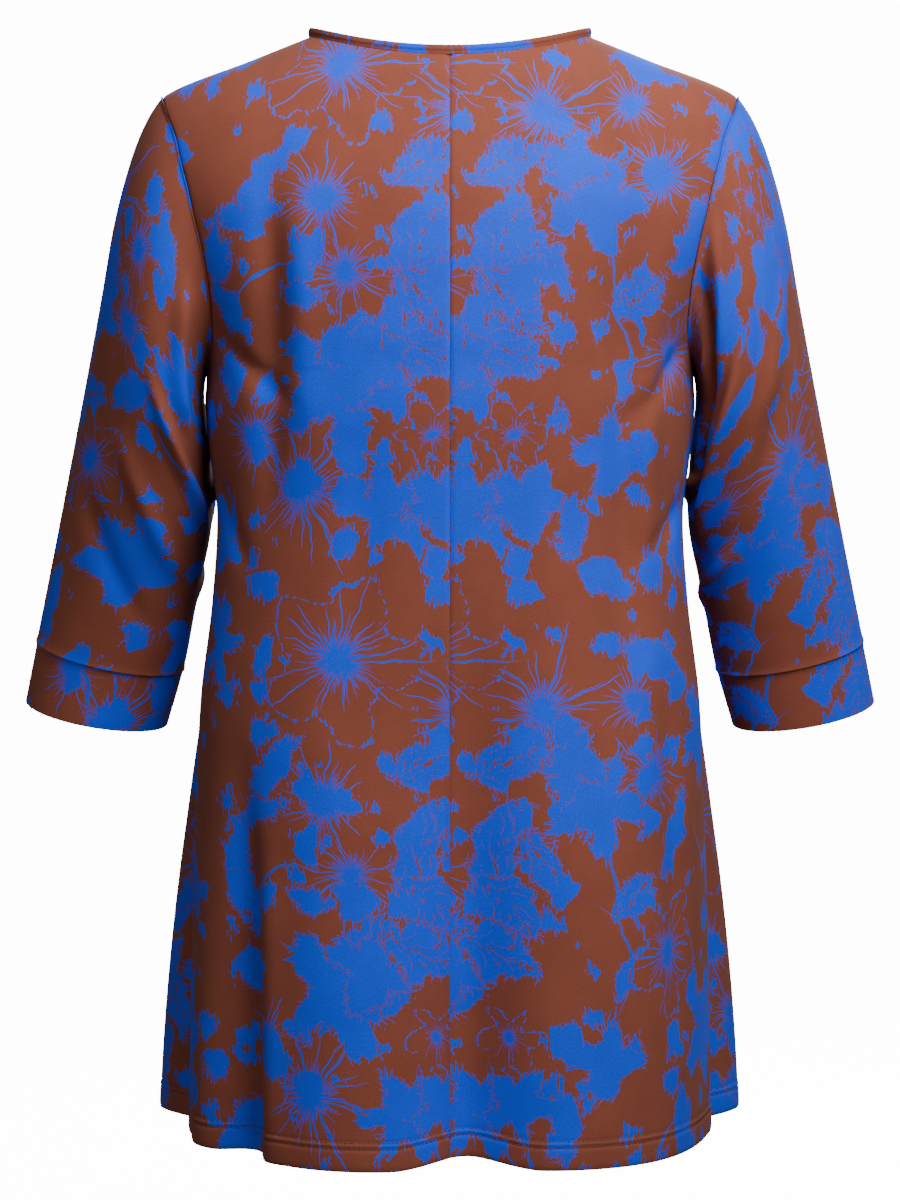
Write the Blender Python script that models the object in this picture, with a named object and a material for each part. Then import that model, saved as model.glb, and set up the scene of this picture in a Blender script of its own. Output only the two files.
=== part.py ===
"""Tunic top: the cloth pieces of a pull-on jersey tunic, filled out as it is worn.

+Z is up, -Y is the wearer's back and +X the wearer's right. The origin lies between the two
neck points, where the shoulders carry the garment. Sizes are in metres and angles in degrees.
Every surface point is on the outer face of the cloth, and the wall goes inwards from it.
"""

import math

import bmesh
import bpy
from mathutils import Vector

# ---------------------------------------------------------------- driving sizes
CLOTH = 0.0015              # jersey wall
BINDING_CLOTH = 0.0024      # folded neck binding
SEAM_GAP = 0.0003           # clearance where two pieces are sewn together
ARMHOLE_TRIM = 0.0003       # taken off a sleeve, which meets the torso at an angle
MERGE_WITHIN = 0.00003      # closes a tube along the line where its grid starts and ends
SHARP_ANGLE = 50            # edges sharper than this are shaded as edges
STEP = 0.0005               # small steps used to measure a surface's slope
RING_STEP = 0.01
ALONG_STEP = 0.04

NECK_Z = -0.0030            # height of the neck point, below the binding
BACK_NECK_DROP = 0.0200     # neck point down to the neckline at the centre back
FRONT_NECK_DROP = 0.0850    # neck point down to the neckline at the centre front
BACK_NECK_CURVE = 1.7       # 2 is a parabola, 1 is an ellipse
FRONT_NECK_CURVE = 1.5
BINDING_HEIGHT = 0.0062     # finished height of the neck binding

TIP_Z = -0.0480             # shoulder tip
UNDERARM_Z = -0.2500        # bottom of the armhole
ARMHOLE_HALF_DEPTH = 0.0680 # centre of the armhole to its back or front edge
ARMHOLE_FULLNESS = 2.2      # 2 is an ellipse, more is squarer
YOKE_Z = (TIP_Z + UNDERARM_Z) / 2   # widest level of the armhole, where the grid rows run level

BACK_HEM_Z = -0.8175        # hem at the centre back
SIDE_HEM_Z = -0.8080
FRONT_HEM_Z = -0.7920
HEM_LIFT = 0.22             # rise of the hem for each metre that a flute folds inwards
FLUTE_ONSET = 0.04          # length over which a flute starts
FLUTE_SWELL = 1.70          # above 1, a flute opens faster near its top

CUFF_STEP = 0.0014          # how much smaller the cuff is than the sleeve, all round
FORWARD_TILT = 0.21         # fall of a sleeve ring from its front to its back, per metre of depth
AGREE_FROM = 0.5            # cosine above which a sleeve's first ring starts to lean on the torso
AGREE_AT = 0.8              # cosine above which its wall follows the torso's
ANGLE_STEPS = 8             # rounds that settle the angle of a point from its width

# ---------------------------------------------------------------- grid sizes
NECK_COLUMNS = 8            # centre to neck point
SHOULDER_COLUMNS = 6        # neck point to shoulder tip
ARMHOLE_ROWS = 10           # shoulder tip to underarm
BODY_ROWS = 14              # underarm to hem
SLEEVE_ROWS = 12
CUFF_ROWS = 2

# Torso sections from the neck points to the hem.
TORSO_COLUMNS = ("height", "half_width", "half_depth", "centre_y", "fullness")
TORSO = (
    (0.000, 0.0960, 0.0560, 0.000, 0.000),
    (-0.020, 0.1455, 0.0720, 0.000, 0.000),
    (-0.048, 0.2124, 0.0900, 0.000, 0.010),
    (-0.090, 0.2290, 0.1060, -0.001, 0.030),
    (-0.128, 0.2215, 0.1165, -0.002, 0.040),
    (-0.160, 0.2090, 0.1215, -0.001, 0.045),
    (-0.193, 0.1950, 0.1240, 0.001, 0.050),
    (-0.228, 0.1820, 0.1255, 0.003, 0.050),
    (-0.250, 0.1795, 0.1255, 0.004, 0.050),
    (-0.275, 0.1805, 0.1250, 0.004, 0.050),
    (-0.315, 0.1765, 0.1225, 0.004, 0.050),
    (-0.355, 0.1718, 0.1200, 0.004, 0.050),
    (-0.420, 0.1755, 0.1205, 0.004, 0.050),
    (-0.490, 0.1835, 0.1250, 0.005, 0.045),
    (-0.600, 0.1870, 0.1360, 0.007, 0.040),
    (-0.700, 0.1890, 0.1450, 0.009, 0.035),
    (-0.820, 0.1905, 0.1530, 0.010, 0.030),
)

# Flutes that open towards the hem. The angle runs from the centre back towards +X, a positive
# depth stands out, and the flute dies out at its top.
FLUTE_COLUMNS = ("angle", "half_width", "hem_depth", "top")
FLUTES = (
    (4, 11, -0.032, -0.43),
    (-25, 15, 0.010, -0.43),
    (38, 20, 0.013, -0.40),
    (-51, 8, -0.013, -0.56),
    (-68, 9, 0.006, -0.56),
    (-89, 7, 0.003, -0.47),
    (89, 7, 0.003, -0.47),
    (-98, 7, -0.015, -0.50),
    (98, 7, -0.014, -0.50),
    (-113, 13, 0.0455, -0.46),
    (113, 13, 0.0445, -0.46),
    (-136, 11, -0.016, -0.52),
    (138, 12, -0.014, -0.50),
    (-158, 13, 0.012, -0.44),
    (160, 12, 0.010, -0.46),
    (181, 10, -0.015, -0.48),
)

# Sleeve rings from the armhole to the cuff seam, then down the cuff. Each ring runs from the
# outer line, over the shoulder, to the inner line, along the body.
SLEEVE_COLUMNS = ("along", "outer_x", "outer_z", "inner_x", "inner_z", "centre_y", "half_depth")
SLEEVE = (
    (0.00, 0.2124, -0.0480, 0.1795, -0.2500, 0.000, 0.0680),
    (0.08, 0.2325, -0.0770, 0.1822, -0.2590, 0.003, 0.0730),
    (0.20, 0.2445, -0.1180, 0.1824, -0.2740, 0.009, 0.0770),
    (0.40, 0.2595, -0.1980, 0.1785, -0.3130, 0.021, 0.0760),
    (0.60, 0.2765, -0.2830, 0.1778, -0.3620, 0.036, 0.0670),
    (0.80, 0.2935, -0.3660, 0.1885, -0.4130, 0.050, 0.0560),
    (1.00, 0.3110, -0.4490, 0.2003, -0.4715, 0.063, 0.0480),
    (1.11, 0.3205, -0.4945, 0.2125, -0.5130, 0.070, 0.0470),
)
CUFF_SEAM_AT = 1.00
CUFF_EDGE_AT = 1.11
SLEEVE_BLEND = 0.30         # where the sleeve has lost the armhole's own shape

BLUE = (0.030, 0.130, 0.640, 1.0)
RUST = (0.240, 0.060, 0.025, 1.0)
JERSEY_ROUGHNESS = 0.85


# ---------------------------------------------------------------- reading the tables
def lookup(table, columns, name, position):
    """Read one column of a section table at a position, on a smooth curve through its rows."""
    at = columns.index(name)
    rows = sorted(table)
    last = len(rows) - 1
    position = min(max(position, rows[0][0]), rows[last][0])
    low = max(i for i in range(last) if rows[i][0] <= position)

    def slope(i):
        before, after = max(i - 1, 0), min(i + 1, last)
        return (rows[after][at] - rows[before][at]) / (rows[after][0] - rows[before][0])

    span = rows[low + 1][0] - rows[low][0]
    t = (position - rows[low][0]) / span
    start, end = rows[low][at], rows[low + 1][at]
    lean_in, lean_out = slope(low) * span, slope(low + 1) * span
    return (
        start * (1 + 2 * t) * (1 - t) ** 2
        + lean_in * t * (1 - t) ** 2
        + end * t * t * (3 - 2 * t)
        + lean_out * t * t * (t - 1)
    )


def torso_size(name, height):
    return lookup(TORSO, TORSO_COLUMNS, name, height)


def sleeve_size(name, along):
    return lookup(SLEEVE, SLEEVE_COLUMNS, name, along)


def blend(start, end, share):
    return start + (end - start) * share


# ---------------------------------------------------------------- the torso's surface
def flute_depth(angle, height):
    """How far the flutes push the cloth out at a place on the torso."""
    depth = 0.0
    for row in FLUTES:
        flute = dict(zip(FLUTE_COLUMNS, row))
        away = (angle - flute["angle"] + 180) % 360 - 180
        below = flute["top"] - height
        opened = (below + math.hypot(below, FLUTE_ONSET)) / 2 / (flute["top"] - BACK_HEM_Z)
        grown = 1 - max(1 - opened, 0.0) ** FLUTE_SWELL
        depth += flute["hem_depth"] * grown * math.exp(-((away / flute["half_width"]) ** 2))
    return depth


def hem_z(angle):
    """Height of the hem edge at an angle from the centre back."""
    end = BACK_HEM_Z if abs(angle) < 90 else FRONT_HEM_Z
    level = blend(SIDE_HEM_Z, end, abs(math.cos(math.radians(angle))))
    return level - HEM_LIFT * min(flute_depth(angle, level), 0.0)


def torso_point(angle, height):
    """A point of the whole torso, at an angle from the centre back and a height."""
    turn = math.radians(angle)
    half_width = torso_size("half_width", height)
    half_depth = torso_size("half_depth", height)
    swell = 1 + torso_size("fullness", height) * math.sin(2 * turn) ** 2
    out = Vector((math.sin(turn) / half_width, -math.cos(turn) / half_depth, 0)).normalized()
    point = Vector((
        half_width * swell * math.sin(turn),
        torso_size("centre_y", height) - half_depth * swell * math.cos(turn),
        height,
    ))
    return point + out * flute_depth(angle, height)


def torso_normal(angle, height):
    round_the_body = torso_point(angle + 1, height) - torso_point(angle - 1, height)
    up_the_body = torso_point(angle, height + STEP) - torso_point(angle, height - STEP)
    return round_the_body.cross(up_the_body).normalized()


def armhole_angle(height):
    """Angle from the centre back, or the centre front, to the armhole edge or the side."""
    if height >= TIP_Z or height <= UNDERARM_Z:
        return 90.0
    rise = abs(height - YOKE_Z) / (TIP_Z - YOKE_Z)
    depth = ARMHOLE_HALF_DEPTH * (1 - rise ** ARMHOLE_FULLNESS) ** (1 / ARMHOLE_FULLNESS)
    return math.degrees(math.acos(depth / torso_size("half_depth", height)))


def row_heights():
    """Heights of the grid rows at the side of a panel, from the shoulder tip to the hem."""
    reach = TIP_Z - YOKE_Z
    rows = [YOKE_Z + reach * math.cos(math.pi * i / ARMHOLE_ROWS) for i in range(ARMHOLE_ROWS)]
    return rows + [blend(UNDERARM_Z, SIDE_HEM_Z, i / BODY_ROWS) for i in range(BODY_ROWS + 1)]


def angle_at_x(x, height):
    """Angle at which the torso, at this height, is x from its centre."""
    angle = 90.0
    for _ in range(ANGLE_STEPS):
        swell = 1 + torso_size("fullness", height) * math.sin(2 * math.radians(angle)) ** 2
        share = min(x / (torso_size("half_width", height) * swell), 1.0)
        angle = math.degrees(math.asin(share))
    return angle


def top_edge(column, is_front):
    """Half width and height of a panel's top edge: the neckline, then the shoulder seam."""
    if column > NECK_COLUMNS:
        share = (column - NECK_COLUMNS) / SHOULDER_COLUMNS
        height = blend(NECK_Z, TIP_Z, share)
        return torso_size("half_width", height), height
    turn = math.pi / 2 * column / NECK_COLUMNS
    drop = FRONT_NECK_DROP if is_front else BACK_NECK_DROP
    curve = FRONT_NECK_CURVE if is_front else BACK_NECK_CURVE
    half_width = torso_size("half_width", NECK_Z)
    if column == NECK_COLUMNS:
        return half_width, NECK_Z
    return half_width * math.sin(turn), NECK_Z - drop * math.cos(turn) ** curve


def panel_place(row, column, side, is_front):
    """Angle and height of a grid point; columns run from the centre to the side."""
    level = row_heights()[row]
    across = column / (NECK_COLUMNS + SHOULDER_COLUMNS)
    if level > YOKE_Z:
        top_x, top_z = top_edge(column, is_front)
        down = (TIP_Z - level) / (TIP_Z - YOKE_Z)
        height = blend(top_z, YOKE_Z, down)
        edge_x = torso_point(armhole_angle(level), level).x
        yoke_angle = armhole_angle(YOKE_Z)
        yoke_share = torso_point(yoke_angle * across, YOKE_Z).x / torso_point(yoke_angle, YOKE_Z).x
        tip_share = top_x / torso_size("half_width", TIP_Z)
        if across == 1:
            angle = armhole_angle(level)
        elif row == 0 and column >= NECK_COLUMNS:
            angle = 90.0
        else:
            angle = angle_at_x(edge_x * blend(tip_share, yoke_share, down), height)
    else:
        angle = armhole_angle(level) * across
        lowered = (level - YOKE_Z) / (SIDE_HEM_Z - YOKE_Z)
        hem_here = hem_z(side * (180 - angle if is_front else angle))
        height = level + (hem_here - SIDE_HEM_Z) * lowered ** 2
    return (180 - angle if is_front else angle), height


def panel_point(row, column, side, is_front):
    """Outer point and outward normal on one quarter of the torso; side is -1 or 1 along X."""
    angle, height = panel_place(row, column, side, is_front)
    return torso_point(side * angle, height), torso_normal(side * angle, height)


# ---------------------------------------------------------------- the sleeve's surface
def armhole_point(ring_turn, side):
    """Outer point and torso normal on the armhole edge, from the shoulder tip over the back."""
    height = YOKE_Z + (TIP_Z - YOKE_Z) * math.cos(ring_turn)
    angle = armhole_angle(height)
    if math.sin(ring_turn) < 0:
        angle = 180 - angle
    return torso_point(side * angle, height), torso_normal(side * angle, height)


def sleeve_point(ring_turn, along, side, shrink=0.0):
    """Outer point of a sleeve or cuff ring; the ring turn is 0 outside and a quarter at the back."""
    outer = Vector((sleeve_size("outer_x", along), 0, sleeve_size("outer_z", along)))
    inner = Vector((sleeve_size("inner_x", along), 0, sleeve_size("inner_z", along)))
    middle = (outer + inner) / 2
    reach = (outer - inner) / 2
    half_depth = sleeve_size("half_depth", along) - shrink
    reach *= 1 - shrink / reach.length
    back = half_depth * math.sin(ring_turn)
    tilt = FORWARD_TILT * min(along / SLEEVE_BLEND, 1.0)
    tube = middle + reach * math.cos(ring_turn)
    tube += Vector((0, sleeve_size("centre_y", along) - back, -tilt * back))
    tube.x *= side
    own_shape = max(0.0, 1 - along / SLEEVE_BLEND) ** 2
    return tube.lerp(armhole_point(ring_turn, side)[0], own_shape)


def sleeve_normal(ring_turn, along, side, shrink=0.0):
    ahead = sleeve_point(ring_turn + RING_STEP, along, side, shrink)
    behind = sleeve_point(ring_turn - RING_STEP, along, side, shrink)
    below = sleeve_point(ring_turn, along + ALONG_STEP, side, shrink)
    above = sleeve_point(ring_turn, max(along - ALONG_STEP, 0.0), side, shrink)
    return (ahead - behind).cross(below - above).normalized() * side


# ---------------------------------------------------------------- cloth pieces
def new_collection(name):
    collection = bpy.data.collections.new(name)
    bpy.context.scene.collection.children.link(collection)
    return collection


def jersey(name, colour):
    material = bpy.data.materials.new(name)
    material.use_nodes = True
    shader = material.node_tree.nodes["Principled BSDF"]
    shader.inputs["Base Color"].default_value = colour
    shader.inputs["Roughness"].default_value = JERSEY_ROUGHNESS
    shader.inputs["Metallic"].default_value = 0.0
    material.diffuse_color = colour
    return material


def into_the_piece(along_edge, normal, towards):
    """Unit direction in the cloth, square to its edge, that points into the piece."""
    across_edge = normal.cross(along_edge).normalized()
    return across_edge if across_edge.dot(towards) > 0 else -across_edge


def cloth_piece(collection, name, colour, columns, rows, place, wall=CLOTH, closed=False,
                trim=SEAM_GAP / 2):
    """One piece of cloth: a grid laid on a surface, trimmed at its edges, with a wall inwards.

    place(across, down) gives the outer point and the outward normal at a share of the grid.
    trim is taken off each open edge.
    """
    cloth = bmesh.new()
    bmesh.ops.create_grid(cloth, x_segments=columns, y_segments=rows, size=0.5)
    inwards = cloth.verts.layers.float_vector.new("inwards")
    trimmed = []
    for vert in cloth.verts:
        column = round((vert.co.x + 0.5) * columns)
        row = round((0.5 - vert.co.y) * rows)
        vert.co, normal = place(column / columns, row / rows)
        vert[inwards] = -normal * wall
        pull = Vector((0, 0, 0))
        if row in (0, rows):
            inside = 1 if row == 0 else rows - 1
            before, after = max(column - 1, 0) / columns, min(column + 1, columns) / columns
            if closed:
                before, after = (column - 1) % columns / columns, (column + 1) % columns / columns
            along = place(after, row / rows)[0] - place(before, row / rows)[0]
            pull += into_the_piece(along, normal, place(column / columns, inside / rows)[0] - vert.co)
        if column in (0, columns) and not closed:
            inside = 1 if column == 0 else columns - 1
            before, after = max(row - 1, 0) / rows, min(row + 1, rows) / rows
            along = place(column / columns, after)[0] - place(column / columns, before)[0]
            pull += into_the_piece(along, normal, place(inside / columns, row / rows)[0] - vert.co)
        trimmed.append((vert, pull * trim))
    for vert, pull in trimmed:
        vert.co += pull
    if closed:
        bmesh.ops.remove_doubles(cloth, verts=cloth.verts[:], dist=MERGE_WITHIN)
    extruded = bmesh.ops.extrude_face_region(cloth, geom=cloth.faces[:], use_keep_orig=True)
    for element in extruded["geom"]:
        if isinstance(element, bmesh.types.BMVert):
            element.co += element[inwards]
    bmesh.ops.recalc_face_normals(cloth, faces=cloth.faces[:])

    mesh = bpy.data.meshes.new(name)
    cloth.to_mesh(mesh)
    cloth.free()
    mesh.attributes.remove(mesh.attributes["inwards"])
    mesh.materials.append(jersey(name + "_jersey", colour))
    mesh.shade_smooth()
    mesh.set_sharp_from_angle(angle=math.radians(SHARP_ANGLE))
    piece = bpy.data.objects.new(name, mesh)
    collection.objects.link(piece)
    return piece


def make_back(collection, name, side):
    """Half of the back, from the centre back seam to the shoulder, armhole and side seams."""
    columns = NECK_COLUMNS + SHOULDER_COLUMNS
    rows = ARMHOLE_ROWS + BODY_ROWS

    def place(across, down):
        from_centre = across if side > 0 else 1 - across
        return panel_point(round(down * rows), round(from_centre * columns), side, False)

    cloth_piece(collection, name, BLUE, columns, rows, place)


def make_front(collection, name):
    """The whole front, from side seam to side seam."""
    columns = NECK_COLUMNS + SHOULDER_COLUMNS
    rows = ARMHOLE_ROWS + BODY_ROWS

    def place(across, down):
        side = 1 if across <= 0.5 else -1
        return panel_point(round(down * rows), round(abs(1 - 2 * across) * columns), side, True)

    cloth_piece(collection, name, BLUE, 2 * columns, rows, place)


def make_sleeve(collection, name, side):
    """One sleeve, a closed tube from the armhole to the cuff seam."""
    def place(across, down):
        turn = 2 * math.pi * across * side
        point = sleeve_point(turn, down * CUFF_SEAM_AT, side)
        normal = sleeve_normal(turn, down * CUFF_SEAM_AT, side)
        if down == 0:
            beside = armhole_point(turn, side)[1]
            share = (beside.dot(normal) - AGREE_FROM) / (AGREE_AT - AGREE_FROM)
            agree = min(max(share, 0.0), 1.0)
            normal = normal.lerp(beside, agree).normalized()
        return point, normal

    cloth_piece(collection, name, BLUE, 2 * ARMHOLE_ROWS, SLEEVE_ROWS, place, closed=True,
                trim=ARMHOLE_TRIM)


def make_cuff(collection, name, side):
    """One cuff, a short tube that is a little smaller than the sleeve above it."""
    def place(across, down):
        turn = 2 * math.pi * across * side
        along = blend(CUFF_SEAM_AT, CUFF_EDGE_AT, down)
        return (sleeve_point(turn, along, side, CUFF_STEP),
                sleeve_normal(turn, along, side, CUFF_STEP))

    cloth_piece(collection, name, RUST, 2 * ARMHOLE_ROWS, CUFF_ROWS, place, closed=True)


def neckline(step):
    """Neckline point and outward normal at a grid step, once round from the centre back."""
    step %= 4 * NECK_COLUMNS
    side = 1 if step <= 2 * NECK_COLUMNS else -1
    from_back = step if side > 0 else 4 * NECK_COLUMNS - step
    is_front = from_back > NECK_COLUMNS
    return panel_point(0, 2 * NECK_COLUMNS - from_back if is_front else from_back, side, is_front)


def make_binding(collection, name):
    """The neck binding, a narrow band that stands on the neckline all the way round."""
    steps = 4 * NECK_COLUMNS

    def place(across, down):
        step = round(across * steps)
        point, normal = neckline(step)
        along = neckline(step + 1)[0] - neckline(step - 1)[0]
        up = along.cross(-normal).normalized()
        return point + up * BINDING_HEIGHT * (1 - down), normal

    cloth_piece(collection, name, RUST, steps, 2, place, wall=BINDING_CLOTH, closed=True)


def main():
    for item in list(bpy.data.objects):
        bpy.data.objects.remove(item, do_unlink=True)
    collection = new_collection("tunic_top")
    make_back(collection, "back_left", -1)
    make_back(collection, "back_right", 1)
    make_front(collection, "front")
    make_sleeve(collection, "sleeve_left", -1)
    make_sleeve(collection, "sleeve_right", 1)
    make_cuff(collection, "cuff_left", -1)
    make_cuff(collection, "cuff_right", 1)
    make_binding(collection, "neck_binding")


main()
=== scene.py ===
"""Printed jersey tunic: finished cloth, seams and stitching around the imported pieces.

+Z is up, -Y is the wearer's back and +X the wearer's right. Sizes are in metres, and angles in
degrees unless a name says otherwise. Each cloth piece is laid out on its own grid, whose UV map
"cloth" holds the place on the cloth in metres.
"""

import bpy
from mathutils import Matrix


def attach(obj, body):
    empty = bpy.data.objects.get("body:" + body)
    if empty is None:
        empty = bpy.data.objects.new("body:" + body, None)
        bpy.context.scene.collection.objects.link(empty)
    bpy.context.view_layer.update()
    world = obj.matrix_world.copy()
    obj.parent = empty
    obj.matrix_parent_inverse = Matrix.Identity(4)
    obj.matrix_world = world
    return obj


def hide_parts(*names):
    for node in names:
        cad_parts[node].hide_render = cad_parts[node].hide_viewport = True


bl_info = {
    "name": "Printed jersey tunic",
    "version": (1, 0, 0),
    "blender": (4, 5, 0),
    "location": "3D View > Sidebar > Tunic",
    "description": "Builds the cloth, seams and stitching of a pull-on printed tunic",
    "category": "Object",
}

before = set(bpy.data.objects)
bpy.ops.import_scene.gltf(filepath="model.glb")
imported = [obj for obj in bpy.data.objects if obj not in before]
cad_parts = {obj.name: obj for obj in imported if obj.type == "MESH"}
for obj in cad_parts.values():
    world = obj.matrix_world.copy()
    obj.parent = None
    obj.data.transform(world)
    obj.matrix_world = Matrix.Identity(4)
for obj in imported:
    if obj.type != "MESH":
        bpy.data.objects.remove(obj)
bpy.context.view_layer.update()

import bisect
import math

import bmesh
import bpy
from bpy.props import FloatProperty, FloatVectorProperty, IntProperty, PointerProperty
from mathutils import Matrix, Vector

BODY = "root"
UV_NAME = "cloth"

# ---------------------------------------------------------------- the garment's own sizes
STEP = 0.0005
RING_STEP = 0.01
NECK_Z = -0.0030
BACK_NECK_DROP = 0.0200
FRONT_NECK_DROP = 0.0850
BACK_NECK_CURVE = 1.7
FRONT_NECK_CURVE = 1.5
TIP_Z = -0.0480
UNDERARM_Z = -0.2500
ARMHOLE_HALF_DEPTH = 0.0680
ARMHOLE_FULLNESS = 2.2
YOKE_Z = (TIP_Z + UNDERARM_Z) / 2
BACK_HEM_Z = -0.8175
SIDE_HEM_Z = -0.8080
FRONT_HEM_Z = -0.7920
HEM_LIFT = 0.22
FLUTE_ONSET = 0.04
FLUTE_SWELL = 1.70
CUFF_STEP = 0.0014
FORWARD_TILT = 0.21
CUFF_SEAM_AT = 1.00
CUFF_EDGE_AT = 1.11
SLEEVE_BLEND = 0.30
SLEEVE_LENGTH = 0.425       # crown to cuff seam, along the middle of the sleeve
NECK_SHARE = 8 / 14         # share of a panel's top edge that is neckline, the rest is shoulder

TORSO_COLUMNS = ("height", "half_width", "half_depth", "centre_y", "fullness")
TORSO = sorted((
    (0.000, 0.0960, 0.0560, 0.000, 0.000),
    (-0.020, 0.1455, 0.0720, 0.000, 0.000),
    (-0.048, 0.2124, 0.0900, 0.000, 0.010),
    (-0.090, 0.2290, 0.1060, -0.001, 0.030),
    (-0.128, 0.2215, 0.1165, -0.002, 0.040),
    (-0.160, 0.2090, 0.1215, -0.001, 0.045),
    (-0.193, 0.1950, 0.1240, 0.001, 0.050),
    (-0.228, 0.1820, 0.1255, 0.003, 0.050),
    (-0.250, 0.1795, 0.1255, 0.004, 0.050),
    (-0.275, 0.1805, 0.1250, 0.004, 0.050),
    (-0.315, 0.1765, 0.1225, 0.004, 0.050),
    (-0.355, 0.1718, 0.1200, 0.004, 0.050),
    (-0.420, 0.1755, 0.1205, 0.004, 0.050),
    (-0.490, 0.1835, 0.1250, 0.005, 0.045),
    (-0.600, 0.1870, 0.1360, 0.007, 0.040),
    (-0.700, 0.1890, 0.1450, 0.009, 0.035),
    (-0.820, 0.1905, 0.1530, 0.010, 0.030),
))

# Flutes that open towards the hem: angle, half width, depth at the hem, height where it starts.
FLUTES = (
    (4, 11, -0.032, -0.43),
    (-25, 15, 0.010, -0.43),
    (38, 20, 0.013, -0.40),
    (-51, 8, -0.013, -0.56),
    (-68, 9, 0.006, -0.56),
    (-89, 7, 0.003, -0.47),
    (89, 7, 0.003, -0.47),
    (-98, 7, -0.015, -0.50),
    (98, 7, -0.014, -0.50),
    (-113, 13, 0.0455, -0.46),
    (113, 13, 0.0445, -0.46),
    (-136, 11, -0.016, -0.52),
    (138, 12, -0.014, -0.50),
    (-158, 13, 0.012, -0.44),
    (160, 12, 0.010, -0.46),
    (181, 10, -0.015, -0.48),
)

SLEEVE_COLUMNS = ("along", "outer_x", "outer_z", "inner_x", "inner_z", "centre_y", "half_depth")
SLEEVE = (
    (0.00, 0.2124, -0.0480, 0.1795, -0.2500, 0.000, 0.0680),
    (0.08, 0.2325, -0.0770, 0.1822, -0.2590, 0.003, 0.0730),
    (0.20, 0.2445, -0.1180, 0.1824, -0.2740, 0.009, 0.0770),
    (0.40, 0.2595, -0.1980, 0.1785, -0.3130, 0.021, 0.0760),
    (0.60, 0.2765, -0.2830, 0.1778, -0.3620, 0.036, 0.0670),
    (0.80, 0.2935, -0.3660, 0.1885, -0.4130, 0.050, 0.0560),
    (1.00, 0.3110, -0.4490, 0.2003, -0.4715, 0.063, 0.0480),
    (1.11, 0.3205, -0.4945, 0.2125, -0.5130, 0.070, 0.0470),
)

# ---------------------------------------------------------------- soft folds
# Straight soft folds on the back and front: x and height of each end, half width, rise.
# A negative rise is a trough. x is measured round the cloth from the centre.
BACK_FOLDS = (
    (-0.130, -0.115, -0.136, -0.335, 0.0130, -0.0030),
    (-0.108, -0.150, -0.104, -0.300, 0.0120, 0.0013),
    (0.126, -0.120, 0.134, -0.440, 0.0150, -0.0030),
    (0.152, -0.200, 0.150, -0.400, 0.0120, 0.0018),
    (0.070, -0.230, 0.062, -0.420, 0.0170, 0.0010),
    (-0.062, -0.300, -0.070, -0.520, 0.0180, -0.0012),
    (-0.163, -0.560, -0.176, -0.830, 0.0120, -0.0034),
    (-0.140, -0.600, -0.146, -0.830, 0.0110, 0.0015),
    (0.170, -0.480, 0.190, -0.700, 0.0140, -0.0018),
    (-0.185, -0.225, -0.120, -0.275, 0.0070, -0.0018),
    (0.190, -0.235, 0.135, -0.290, 0.0080, -0.0020),
    (-0.200, -0.330, -0.160, -0.390, 0.0090, -0.0014),
    (0.205, -0.345, 0.150, -0.385, 0.0090, -0.0015),
    (-0.020, -0.045, -0.110, -0.060, 0.0080, -0.0008),
    (0.025, -0.048, 0.100, -0.075, 0.0080, -0.0007),
)
FRONT_FOLDS = (
    (-0.095, -0.230, -0.060, -0.480, 0.0160, -0.0022),
    (0.105, -0.210, 0.082, -0.430, 0.0150, -0.0020),
    (-0.175, -0.240, -0.110, -0.210, 0.0090, -0.0022),
    (0.180, -0.245, 0.120, -0.205, 0.0090, -0.0024),
    (0.020, -0.330, 0.030, -0.600, 0.0200, 0.0014),
    (-0.150, -0.420, -0.160, -0.700, 0.0150, -0.0018),
    (0.145, -0.450, 0.155, -0.680, 0.0140, -0.0016),
    (-0.060, -0.105, -0.130, -0.130, 0.0090, -0.0010),
    (0.055, -0.108, 0.120, -0.140, 0.0090, -0.0009),
)
# Folds on a sleeve: turn from the outer line over the back and share of the length at each end,
# half width and rise in metres.
LEFT_SLEEVE_FOLDS = (
    (112, 0.02, 128, 0.30, 0.0110, -0.0042),
    (92, 0.03, 100, 0.26, 0.0110, 0.0028),
    (98, 0.32, 158, 0.60, 0.0100, -0.0042),
    (80, 0.40, 140, 0.72, 0.0120, 0.0022),
    (60, 0.02, 66, 0.20, 0.0090, -0.0016),
    (150, 0.30, 190, 0.38, 0.0090, -0.0040),
    (140, 0.44, 200, 0.52, 0.0080, -0.0030),
    (110, 0.66, 175, 0.80, 0.0110, -0.0022),
    (40, 0.58, 95, 0.84, 0.0140, -0.0012),
    (250, 0.10, 232, 0.34, 0.0120, -0.0034),
    (262, 0.36, 205, 0.58, 0.0110, -0.0034),
    (285, 0.55, 230, 0.74, 0.0130, -0.0018),
    (310, 0.70, 250, 0.88, 0.0120, 0.0014),
)
RIGHT_SLEEVE_FOLDS = (
    (88, 0.04, 122, 0.22, 0.0090, -0.0030),
    (112, 0.05, 148, 0.30, 0.0080, 0.0044),
    (142, 0.22, 165, 0.56, 0.0090, 0.0030),
    (134, 0.12, 150, 0.34, 0.0070, -0.0030),
    (108, 0.28, 150, 0.62, 0.0120, -0.0038),
    (70, 0.48, 130, 0.78, 0.0130, 0.0016),
    (160, 0.46, 205, 0.54, 0.0080, -0.0032),
    (120, 0.70, 180, 0.82, 0.0110, -0.0020),
    (45, 0.30, 80, 0.46, 0.0140, -0.0012),
    (246, 0.08, 228, 0.30, 0.0120, -0.0036),
    (270, 0.34, 210, 0.54, 0.0110, -0.0030),
    (290, 0.60, 236, 0.78, 0.0130, -0.0020),
)

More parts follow.
